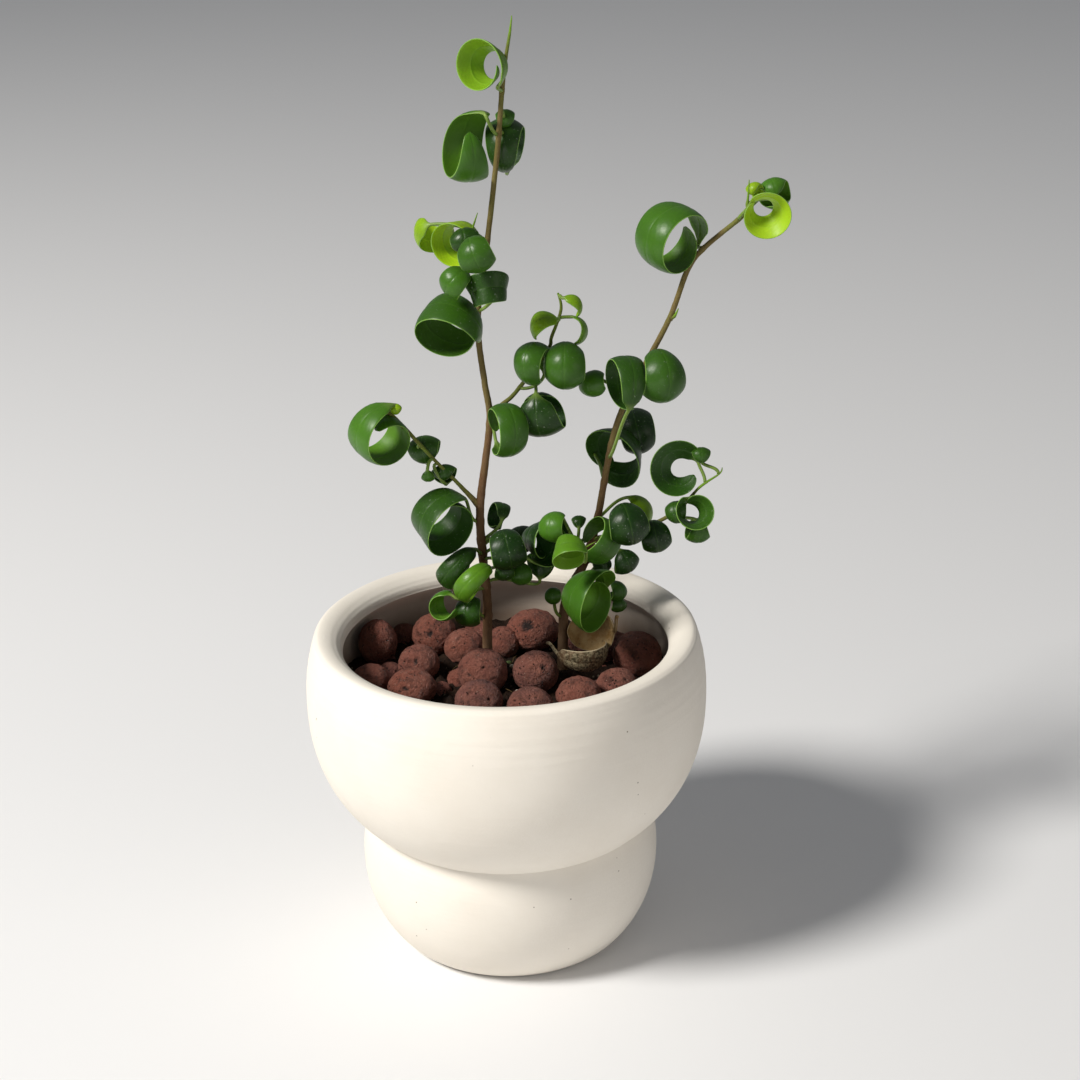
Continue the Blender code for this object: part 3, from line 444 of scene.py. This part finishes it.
def leaf_finish():
    """Leaf skin by the marks on it: side, tone, place across and along the blade."""
    finish = Finish("leaf", roughness=0.4, specular=0.27)
    tone, across, along = finish.mark("tone"), finish.mark("across"), finish.mark("along")
    under, stalk = finish.mark("under"), finish.mark("stalk")
    young = finish.blend(finish.span(tone, 0.0, 0.35), (0.24, 0.40, 0.006), (0.060, 0.175, 0.010))
    upper = finish.blend(finish.span(tone, 0.3, 0.9), young, (0.007, 0.027, 0.003))
    mottle = finish.noise(170.0, 3.0, 0.55)
    upper = finish.blend(finish.span(mottle, 0.45, 0.75, 0.0, 0.35), upper, (0.024, 0.076, 0.005))
    fresh = finish.blend(finish.span(tone, 0.05, 0.35), (0.32, 0.50, 0.010), (0.100, 0.240, 0.012))
    pale = finish.blend(finish.span(tone, 0.3, 0.8), fresh, (0.012, 0.052, 0.004))
    base = finish.blend(under, upper, pale)
    far = finish.maths("ABSOLUTE", across)
    ribs = finish.maths("MULTIPLY_ADD", far, -9.0, finish.maths("MULTIPLY", along, 46.0))
    ribs = finish.maths("SINE", finish.maths("MULTIPLY", ribs, 2.6))
    faint = finish.span(ribs, 0.55, 1.0, 0.0, 0.03)
    base = finish.blend(faint, base, (0.09, 0.20, 0.03))
    rib = finish.span(far, 0.01, 0.035, 0.16, 0.0)
    base = finish.blend(rib, base, (0.10, 0.22, 0.03))
    edge = finish.span(far, 0.955, 0.985, 0.0, 0.85)
    base = finish.blend(edge, base, (0.20, 0.36, 0.07))
    base = finish.blend(stalk, base, (0.17, 0.26, 0.05))
    dust = finish.span(finish.noise(1500.0, 2.0, 0.6), 0.66, 0.74, 0.0, 0.5)
    dust = finish.maths("MULTIPLY", dust, finish.span(tone, 0.5, 0.9))
    base = finish.blend(dust, base, (0.45, 0.50, 0.42))
    finish.colour(base)
    dull = finish.span(under, 0.0, 1.0, 0.36, 0.46)
    finish.gloss(finish.maths("ADD", dull, finish.span(mottle, 0.3, 0.7, -0.05, 0.07)))
    relief = finish.maths("MULTIPLY_ADD", ribs, 0.08, finish.noise(600.0, 3.0, 0.5))
    finish.bump(relief, 0.00012, 0.5)
    finish.shader.inputs["Subsurface Weight"].default_value = 0.15
    finish.shader.inputs["Subsurface Radius"].default_value = (0.6, 1.0, 0.15)
    finish.shader.inputs["Subsurface Scale"].default_value = 0.0012
    return finish.material


def perlite_finish():
    """Chalky white to cream flakes."""
    finish = Finish("perlite", roughness=0.9, specular=0.2)
    finish.colour(finish.blend(finish.noise(900.0, 3.0), (0.50, 0.44, 0.33), (0.80, 0.76, 0.66)))
    finish.bump(finish.noise(1500.0, 4.0), 0.0003, 0.8)
    return finish.material


def moss_finish():
    """Dull green tufts."""
    finish = Finish("moss", roughness=0.9, specular=0.2)
    finish.colour(finish.blend(finish.noise(1200.0, 4.0), (0.020, 0.035, 0.012), (0.11, 0.15, 0.05)))
    finish.bump(finish.noise(1400.0, 5.0, 0.8), 0.0006, 1.0)
    return finish.material


def withered_finish():
    """Dead leaf: golden inside, grey and mouldy outside where it is marked so, with a pale rim."""
    finish = Finish("withered_leaf", roughness=0.7, specular=0.3)
    under = finish.mark("under")
    patch = finish.span(finish.noise(260.0, 5.0, 0.7), 0.35, 0.65)
    gold = finish.blend(patch, (0.30, 0.17, 0.055), (0.46, 0.33, 0.16))
    specks = finish.span(finish.noise(1100.0, 4.0, 0.7), 0.42, 0.60)
    grey = finish.blend(specks, (0.060, 0.046, 0.022), (0.34, 0.28, 0.17))
    grey = finish.blend(finish.span(patch, 0.4, 0.9, 0.0, 0.6), grey, (0.13, 0.065, 0.030))
    outer = finish.maths("SUBTRACT", 1.0, under)
    base = finish.blend(finish.maths("MULTIPLY", finish.mark("mould"), outer), gold, grey)
    rim = finish.span(finish.maths("ABSOLUTE", finish.mark("across")), 0.93, 0.98, 0.0, 0.8)
    base = finish.blend(rim, base, (0.55, 0.46, 0.30))
    spots = finish.span(finish.cells(520.0), 0.10, 0.25, 0.5, 0.0)
    finish.colour(finish.blend(spots, base, (0.10, 0.06, 0.03)))
    finish.bump(finish.noise(420.0, 5.0, 0.65), 0.0005, 0.7)
    return finish.material


# ---- pot and earth -------------------------------------------------------------------------------
def cad_profile(node):
    """(radius, height) round a turned CAD node's section, from its underside to its inside floor."""
    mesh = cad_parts[node].data
    spots = []
    for vertex in mesh.vertices:
        x, y, z = vertex.co
        spots.append((round(x, 6), round(z, 6)) if abs(y) < 1e-6 and x > 0.0 else None)
    links = {}
    for edge in mesh.edges:
        a, b = (spots[i] for i in edge.vertices)
        if a and b and a != b:
            links.setdefault(a, set()).add(b)
            links.setdefault(b, set()).add(a)
    start = min(links, key=lambda spot: (spot[1], spot[0]))
    route = [start]
    while True:
        ahead = [spot for spot in links[route[-1]] if spot not in route]
        if not ahead:
            return route
        route.append(ahead[0])


def refined(profile, steps, corner=38.0):
    """The profile with a smooth curve through each run of points between sharp corners."""
    points = [Vector(spot) for spot in profile]
    sharp = {0, len(points) - 1}
    for i in range(1, len(points) - 1):
        if (points[i] - points[i - 1]).angle(points[i + 1] - points[i]) > math.radians(corner):
            sharp.add(i)
    fine = []
    for i in range(len(points) - 1):
        start, end = points[i], points[i + 1]
        before = start * 2.0 - end if i in sharp else points[i - 1]
        after = end * 2.0 - start if i + 1 in sharp else points[i + 2]
        for k in range(steps):
            t = k / steps
            fine.append(0.5 * (2.0 * start + (end - before) * t
                               + (2.0 * before - 5.0 * start + 4.0 * end - after) * t * t
                               + (3.0 * start - before - 3.0 * end + after) * t * t * t))
    return fine + [points[-1]]


GROOVES_FROM = 0.085            # height from which the throwing grooves show


def make_pot(finish):
    """The CAD pot's section, smoothed and turned, with a hand-thrown surface.

    The points past the lip's crown are marked as inside.
    """
    sides = 200
    rings, inside = [], []
    section = refined(cad_profile("pot"), 5)
    crown = max(range(len(section)), key=lambda k: section[k].y)
    for k, spot in enumerate(section):
        inside.append([1.0 if k > crown else 0.0] * sides)
        ring = circle(spot.x, spot.y, sides)
        groove = 0.04 * MM * math.sin(spot.y / MM * 5.2) * (spot.y > GROOVES_FROM)
        for point in ring:
            swell = noise.noise(Vector((point.x * 22.0, point.y * 22.0, point.z * 30.0)))
            point.xy *= 1.0 + (groove + 0.18 * MM * swell) / max(spot.x, 0.02)
        rings.append(ring)
    place(skin("pot_body", rings, finish, {"inside": inside}, 50.0), "cream_clay", "pot")


def make_earth(finish):
    """The earth: even walls, and a top of lumps and crumbs between the pebbles."""
    low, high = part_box("soil")
    walls = [spot for spot in cad_profile("soil") if spot[1] < high.z - 0.1 * MM]
    sides = 210
    rings = [circle(radius, height, sides) for radius, height in walls]
    for share in spread(1.0, 0.02, 90):
        ring = circle(high.x * 0.995 * share, high.z, sides)
        for point in ring:
            lump = noise.fractal(point * 220.0, 0.8, 2.0, 5)
            crumb = 1.0 - noise.voronoi(point * 600.0)[0][0] * 1.6
            point.z += (2.2 + 1.9 * lump + 1.1 * crumb) * MM
            point.z = max(min(point.z, high.z + 6.0 * MM), high.z)
        rings.append(ring)
    place(skin("earth", rings, finish), "soil", "soil")


# ---- pebbles -------------------------------------------------------------------------------------
def pebble_skin(name, centre, radii, seed, tone, finish, lobes=56, sides=80, scar=None):
    """A rounded lump with dents, wrinkles, a few open pits and a scar, inside the given radii."""
    random_way = Vector((seed * 3.7, 1.3, 5.1))
    rings, pits = [], []
    for latitude in spread(-89.0, 89.0, lobes):
        around, up = math.cos(math.radians(latitude)), math.sin(math.radians(latitude))
        ring, row = [], []
        for i in range(sides):
            angle = 2.0 * math.pi * i / sides
            way = Vector((around * math.cos(angle), around * math.sin(angle), up))
            dent = 0.06 * (0.5 + 0.5 * noise.noise(way * 1.3 + random_way))
            lump = 0.030 * noise.noise(way * 3.0 - random_way)
            wrinkle = 0.020 * noise.fractal(way * 6.0 + random_way, 0.7, 2.0, 4)
            near, spots = noise.voronoi(way * 2.1 + random_way)
            keep = noise.noise(spots[0] * 7.7) > -0.02
            size = 0.15 + 0.12 * noise.noise(spots[0] * 3.1) + 0.10 * noise.noise(way * 11.0)
            pit = max(0.0, 1.0 - near[0] / max(size, 0.02)) if keep else 0.0
            if scar:
                edge = scar[1] * (1.0 + noise.noise(way * 13.0 + random_way))
                pit = max(pit, 1.0 - (way - Vector(scar[0]).normalized()).length / edge)
            pit = min(1.0, pit * 2.5)
            ring.append(centre + Vector((way.x * radii.x, way.y * radii.y, way.z * radii.z))
                        * (1.0 - dent + lump + wrinkle - 0.12 * pit))
            row.append(pit)
        rings.append(ring)
        pits.append(row)
    tones = [[tone] * sides] * lobes
    return skin(name, rings, finish, {"tone": tones, "pit": pits})


def make_pebbles(finish):
    tones = random.Random(4)
    count = sum(name.startswith("pebble_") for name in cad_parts)
    for number in range(1, count + 1):
        node = "pebble_%02d" % number
        low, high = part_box(node)
        piece = pebble_skin("clay_" + node, (low + high) / 2.0, (high - low) / 2.0, number - 1,
                            tones.random(), finish, scar=PEBBLE_SCARS.get(number))
        place(piece, "fired_clay", node)
    for number, (centre, size) in enumerate(SUNK_PEBBLES, 1):
        piece = pebble_skin("sunk_pebble_%02d" % number, on_earth(centre), Vector(size) * MM / 2.0,
                            number + 20, tones.random(), finish)
        place(piece, "fired_clay")


def make_grit(fired, pale, green):
    """Gravel, flakes of perlite and tufts of moss strewn between the pebbles."""
    strewn = random.Random(11)
    kinds = (("gravel", fired, "fired_clay", 46, 0.5, 1.5), ("perlite", pale, "soil", 16, 0.4, 0.9),
             ("moss", green, "leaf", 7, 0.7, 1.3))
    for k, (name, finish, slot, count, least, most) in enumerate(kinds):
        parts = []
        while len(parts) < count:
            spot = Vector((strewn.uniform(-44.0, 44.0), strewn.uniform(-40.0, 40.0), 2.6))
            off_moss = name == "moss" and (spot.xy - Vector((3.0, 20.0))).length > 14.0
            if spot.xy.length > 44.0 or off_moss:
                continue
            wide = strewn.uniform(least, most)
            size = Vector((wide, wide * strewn.uniform(0.6, 1.0), wide * strewn.uniform(0.5, 0.9)))
            parts.append(pebble_skin("grit", on_earth(spot + Vector((0.0, 0.0, wide * 0.3))), size * MM,
                                     len(parts) + 50 * k, strewn.random(), finish, 9, 12))
        place(joined(parts, name), slot)


def make_roots(finish):
    """Fine dead root fibres lying over the earth between the pebbles."""
    strewn = random.Random(5)
    parts = []
    for number in range(12):
        start = Vector((strewn.uniform(-20.0, 24.0), strewn.uniform(-4.0, 26.0), 2.6))
        way = strewn.uniform(0.0, 2.0 * math.pi)
        curve = []
        for k in range(14):
            way += strewn.uniform(-0.45, 0.45)
            start = start + Vector((math.cos(way), math.sin(way), 0.0)) * 0.6
            height = 3.3 + 0.9 * math.sin(k * 0.5 + number)
            curve.append((on_earth((start.x, start.y, height)), 0.09 * MM * (1.3 - k / 14.0)))
        parts.append(skin("fibre", tube_rings(curve, 6), finish, {"age": [[0.5] * 6] * 14}))
    place(joined(parts, "root_fibres"), "bark")


# ---- stems ---------------------------------------------------------------------------------------
def on_earth(point):
    return Vector(point) * MM + Vector((0.0, 0.0, EARTH_TOP))


def smooth_route(stations, steps):
    """A Catmull-Rom curve through (point, radius) stations, as a list of (point, radius)."""
    knots = [(on_earth(point), radius * MM) for point, radius in stations]
    curve = []
    last = len(knots) - 1
    for i in range(last):
        before, start = knots[max(i - 1, 0)][0], knots[i][0]
        end, after = knots[i + 1][0], knots[min(i + 2, last)][0]
        for k in range(steps):
            t = k / steps
            square = (2.0 * before - 5.0 * start + 4.0 * end - after) * t * t
            cube = (3.0 * start - before - 3.0 * end + after) * t * t * t
            point = 0.5 * (2.0 * start + (end - before) * t + square + cube)
            radius = knots[i][1] + (knots[i + 1][1] - knots[i][1]) * t
            curve.append((point, radius))
    curve.append(knots[last])
    return curve


def tube_rings(curve, sides, swell=None):
    """Rings square to the curve, carried along it without twisting."""
    rings = []
    side = None
    for i, (point, radius) in enumerate(curve):
        before = curve[max(i - 1, 0)][0]
        after = curve[min(i + 1, len(curve) - 1)][0]
        ahead = (after - before).normalized()
        if side is None:
            side = Vector((1.0, 0.0, 0.0))
        side = (side - ahead * side.dot(ahead)).normalized()
        other = ahead.cross(side)
        ring = []
        for k in range(sides):
            angle = 2.0 * math.pi * k / sides
            way = math.cos(angle) * side + math.sin(angle) * other
            ring.append(point + way * (swell(point, radius, way) if swell else radius))
        rings.append(ring)
    return rings


def point_on_branch(branch, share):
    """Point, direction and radius at a share of the branch's length."""
    curve = smooth_route(ROUTES[branch], 6)
    lengths = [(b[0] - a[0]).length for a, b in zip(curve, curve[1:])]
    left = share * sum(lengths)
    for (start, thick), (end, thin), length in zip(curve, curve[1:], lengths):
        if left <= length:
            t = left / length
            return start.lerp(end, t), (end - start).normalized(), thick + (thin - thick) * t
        left -= length
    return curve[-1][0], (curve[-1][0] - curve[-2][0]).normalized(), curve[-1][1]


def bark_age(radius):
    """How old a stem of this radius looks: 0 at a green tip, 1 at the foot."""
    return min(1.0, max(0.0, (radius / MM - 0.35) / 1.25))


def make_stems(finish):
    """Each stem with its twigs, swollen where leaves grow and sunk into the earth at the foot."""
    scars = {}
    for rows in LEAVES.values():
        for branch, share, *rest in rows:
            scars.setdefault(branch, []).append(point_on_branch(branch, share)[0])
    for stem, branches in STEMS.items():
        parts = []
        for branch in branches:
            curve = smooth_route(ROUTES[branch], 16)
            if branch == branches[0]:
                foot, radius = curve[0]
                below = [(foot - Vector((0.0, 0.0, depth * MM)), radius) for depth in (13.0, 8.0, 3.0)]
                curve = below + curve
            else:
                flare = [1.0 + 0.8 * math.exp(-k / 6.0) for k in range(len(curve))]
                curve = [(point, radius * grow) for (point, radius), grow in zip(curve, flare)]
            joints = scars.get(branch, ())

            def swell(point, radius, way):
                bumps = sum(math.exp(-((point - joint).length / (0.9 * MM)) ** 2) for joint in joints)
                rough = noise.fractal((point + way * radius) * 700.0, 0.8, 2.0, 3)
                return radius * (1.0 + 0.16 * min(bumps, 1.3)) + rough * radius * 0.07

            rings = tube_rings(curve, 18, swell)
            ages = [[bark_age(radius)] * 18 for point, radius in curve]
            parts.append(skin(branch + "_bark", rings, finish, {"age": ages}))
        place(joined(parts, stem + "_bark"), "bark", stem)


# ---- leaves --------------------------------------------------------------------------------------
def blade_shape(t):
    """Half width of an ovate blade as a share of its greatest, from base to tip."""
    return math.sin(math.pi * t ** 0.85) ** 0.45 if 0.0 < t < 1.0 else 0.0


def stalk_stations(foot, along, outward, base, ahead, axis):
    """The leaf stalk: a bend from its foot on the bark to the blade's base, met head on."""
    length = (base - foot).length
    early = foot + (outward + along * STALK_RISE).normalized() * (length * 0.35)
    late = base - ahead * (length * 0.35)
    points = []
    for t in spread(0.0, 1.0, STALK_STEPS):
        s = 1.0 - t
        points.append(s ** 3 * foot + 3 * s * s * t * early + 3 * s * t * t * late + t ** 3 * base)
    stations = []
    side = axis
    for point, after in zip(reversed(points[:-1]), reversed(points[1:])):
        way = (after - point).normalized()
        side = (side - way * side.dot(way)).normalized()
        stations.insert(0, (point, side, way.cross(side)))
    return stations


def ring_places():
    """(across, side) round a blade's section: side 1 is the upper face, -1 the lower, 0 the margin."""
    upper = [(-s, 1) for s in reversed(ACROSS[1:-1])] + [(s, 1) for s in ACROSS[:-1]]
    lower = [(s, -1) for s in reversed(ACROSS[1:-1])] + [(-s, -1) for s in ACROSS[:-1]]
    return [(-1.0, 0)] + upper + [(1.0, 0)] + lower


def make_leaf(name, root, centre, facing, curls, blade, sweep, slip, tone, finish, seed):
    """One leaf: a closed skin from the stalk's foot round the curled blade to its tip.

    root is the point, direction and radius of the branch where the leaf grows.
    """
    middle = on_earth(centre)
    joint, along, thick = root
    turn, lean, extra = (math.radians(angle) for angle in (*facing, 0.0)[:3])
    axis = Vector((math.sin(turn) * math.cos(lean), -math.cos(turn) * math.cos(lean),
                   math.sin(lean)))
    curl, tuck = curls[0] * MM, curls[1]
    half, arch, slant = blade[0] * MM / 2.0, blade[1], math.radians(blade[2])
    flat = joint - middle
    flat -= axis * flat.dot(axis)
    first = flat.normalized()
    second = axis.cross(first)
    meet = math.acos(min(1.0, curl / flat.length)) + extra  # where a line from the stem is tangent
    wave = seed * 1.7

    def on_curl(t):
        angle = meet + math.radians(sweep) * t
        away = math.cos(angle) * first + math.sin(angle) * second
        reach = curl * (1.0 - tuck * t * t)
        return middle + away * reach + axis * (slip * MM * (t - 0.5)), away

    base, base_away = on_curl(0.0)
    outward = base - joint
    outward = (outward - along * outward.dot(along)).normalized()
    foot = joint + outward * thick * 0.8
    places = ring_places()
    rings, marks = [], {"across": [], "along": [], "under": [], "stalk": [], "tone": []}

    def add_ring(point, side, away, wide, bulk, t, stalky):
        tilt_side = side * math.cos(slant) + away * math.sin(slant)
        tilt_away = away * math.cos(slant) - side * math.sin(slant)
        ring, unders = [], []
        for k, (across, face) in enumerate(places):
            turned = 2.0 * math.pi * k / len(places)
            round_across, round_lift = -math.cos(turned), math.sin(turned)
            s = abs(across)
            ripple = 0.045 * s * s * math.sin(9.0 * t + wave + 2.0 * (across > 0.0))
            lift = wide * (-arch * s ** 1.8 + 0.02 * math.sin(math.pi * s) + ripple)
            rib = math.exp(-(across * wide / (0.28 * MM)) ** 2)
            skin_lift = face * bulk * math.sqrt(max(0.0, 1.0 - s ** 8))
            if face < 0:
                skin_lift -= 0.14 * MM * rib * (1.0 - 0.7 * t)
            if face > 0:
                skin_lift -= 0.06 * MM * rib
            flat_x, flat_y = across * wide, lift + skin_lift
            tube_x, tube_y = round_across * PETIOLE_RADIUS, round_lift * PETIOLE_RADIUS
            x = flat_x * (1.0 - stalky) + tube_x * stalky
            y = flat_y * (1.0 - stalky) + tube_y * stalky
            ring.append(point + tilt_side * x + tilt_away * y)
            unders.append(1.0 if face < 0 else 0.0)
        rings.append(ring)
        marks["across"].append([across for across, face in places])
        marks["under"].append(unders)
        for key, value in (("along", t), ("stalk", stalky), ("tone", tone)):
            marks[key].append([value] * len(places))

    for point, side, away in stalk_stations(foot, along, outward, base, axis.cross(base_away), axis):
        add_ring(point, side, away, PETIOLE_RADIUS, PETIOLE_RADIUS, 0.0, 1.0)
    for k in range(BLADE_STEPS + 1):
        t = k / BLADE_STEPS
        point, away = on_curl(t)
        wide = max(half * blade_shape(t), 0.25 * MM)
        bulk = BLADE_THICKNESS / 2.0 * min(1.0, 0.35 + (1.0 - t) * 6.0)
        add_ring(point, axis, away, wide, bulk, t, max(0.0, 1.0 - t * 14.0))
    return skin(name, rings, finish, marks)


def make_leaves(finish):
    for stem, rows in LEAVES.items():
        for number, (branch, share, *shape) in enumerate(rows, 1):
            node = "%s_%02d" % (stem, number)
            piece = make_leaf("green_" + node, point_on_branch(branch, share), *shape, finish, number)
            place(piece, "leaf", node)
    for number, (branch, share, *shape) in enumerate(LITTLE, 1):
        name = "green_bud_%02d" % number
        place(make_leaf(name, point_on_branch(branch, share), *shape, finish, number), "leaf")


def make_withered(finish):
    """The withered leaves; the second one is marked as mouldy."""
    for number, (stalk_end, *shape) in enumerate(WITHERED, 1):
        root = (on_earth(stalk_end), Vector((0.0, 0.0, 1.0)), 0.0)
        piece = make_leaf("dry_leaf_%d" % number, root, *shape, 0.0, finish, number)
        layer = piece.data.attributes.new("mould", "FLOAT", "POINT")
        layer.data.foreach_set("value", [number - 1.0] * len(piece.data.vertices))
        place(piece, "withered_leaf", "withered_leaf_%d" % number)


# ---- stage ---------------------------------------------------------------------------------------
def make_floor():
    """A plain pale floor."""
    mesh = bpy.data.meshes.new("floor")
    corners = ((-6.0, -6.0, 0.0), (6.0, -6.0, 0.0), (6.0, 6.0, 0.0), (-6.0, 6.0, 0.0))
    mesh.from_pydata(corners, [], [(0, 1, 2, 3)])
    floor = bpy.data.objects.new("floor", mesh)
    bpy.context.scene.collection.objects.link(floor)
    finish = Finish("floor", 0.75)
    finish.colour((0.81, 0.81, 0.815, 1.0))
    mesh.materials.append(finish.material)


def make_light(name, size, power, spot, aim, colour):
    lamp = bpy.data.lights.new(name, "AREA")
    lamp.shape = "DISK"
    lamp.size = size
    lamp.energy = power
    lamp.color = colour
    obj = bpy.data.objects.new(name, lamp)
    obj.location = spot
    obj.rotation_euler = (Vector(aim) - Vector(spot)).to_track_quat("-Z", "Y").to_euler()
    bpy.context.scene.collection.objects.link(obj)


def make_lights():
    """A soft key from the front left, a low fill, a warm bounce from the right, and a pale room."""
    make_light("key", 0.50, 43.0, (-1.18, -0.66, 1.42), (0.0, 0.0, 0.10), (1.0, 0.972, 0.925))
    make_light("fill", 0.50, 1.2, (-0.05, -1.15, 0.12), (0.0, 0.0, 0.04), (1.0, 0.97, 0.93))
    make_light("bounce", 0.70, 1.5, (1.10, -0.75, 0.40), (0.0, 0.0, 0.08), (1.0, 0.93, 0.84))
    world = bpy.data.worlds.new("room")
    bpy.context.scene.world = world
    world.use_nodes = True
    sky = world.node_tree.nodes["Background"]
    sky.inputs["Color"].default_value = (0.90, 0.93, 0.98, 1.0)
    sky.inputs["Strength"].default_value = 0.20


def make_camera():
    """A long lens a little over half a metre away, 22 degrees above level."""
    lens = bpy.data.cameras.new("camera")
    lens.sensor_width = 36.0
    lens.lens = 75.0
    lens.clip_start = 0.01
    camera = bpy.data.objects.new("camera", lens)
    pitch, roll = math.radians(22.0), math.radians(-1.03)
    turn = Matrix.Rotation(math.radians(90.0) - pitch, 4, "X") @ Matrix.Rotation(roll, 4, "Z")
    camera.matrix_world = Matrix.Translation((0.0108, -0.6125, 0.3760)) @ turn
    bpy.context.scene.collection.objects.link(camera)
    bpy.context.scene.camera = camera


def main():
    make_camera()
    make_floor()
    make_lights()
    make_pot(clay_finish())
    make_earth(earth_finish())
    fired, bark = fired_finish(), bark_finish()
    make_pebbles(fired)
    make_grit(fired, perlite_finish(), moss_finish())
    make_roots(bark)
    make_stems(bark)
    make_leaves(leaf_finish())
    make_withered(withered_finish())
    bpy.context.scene.view_settings.view_transform = "Standard"


main()
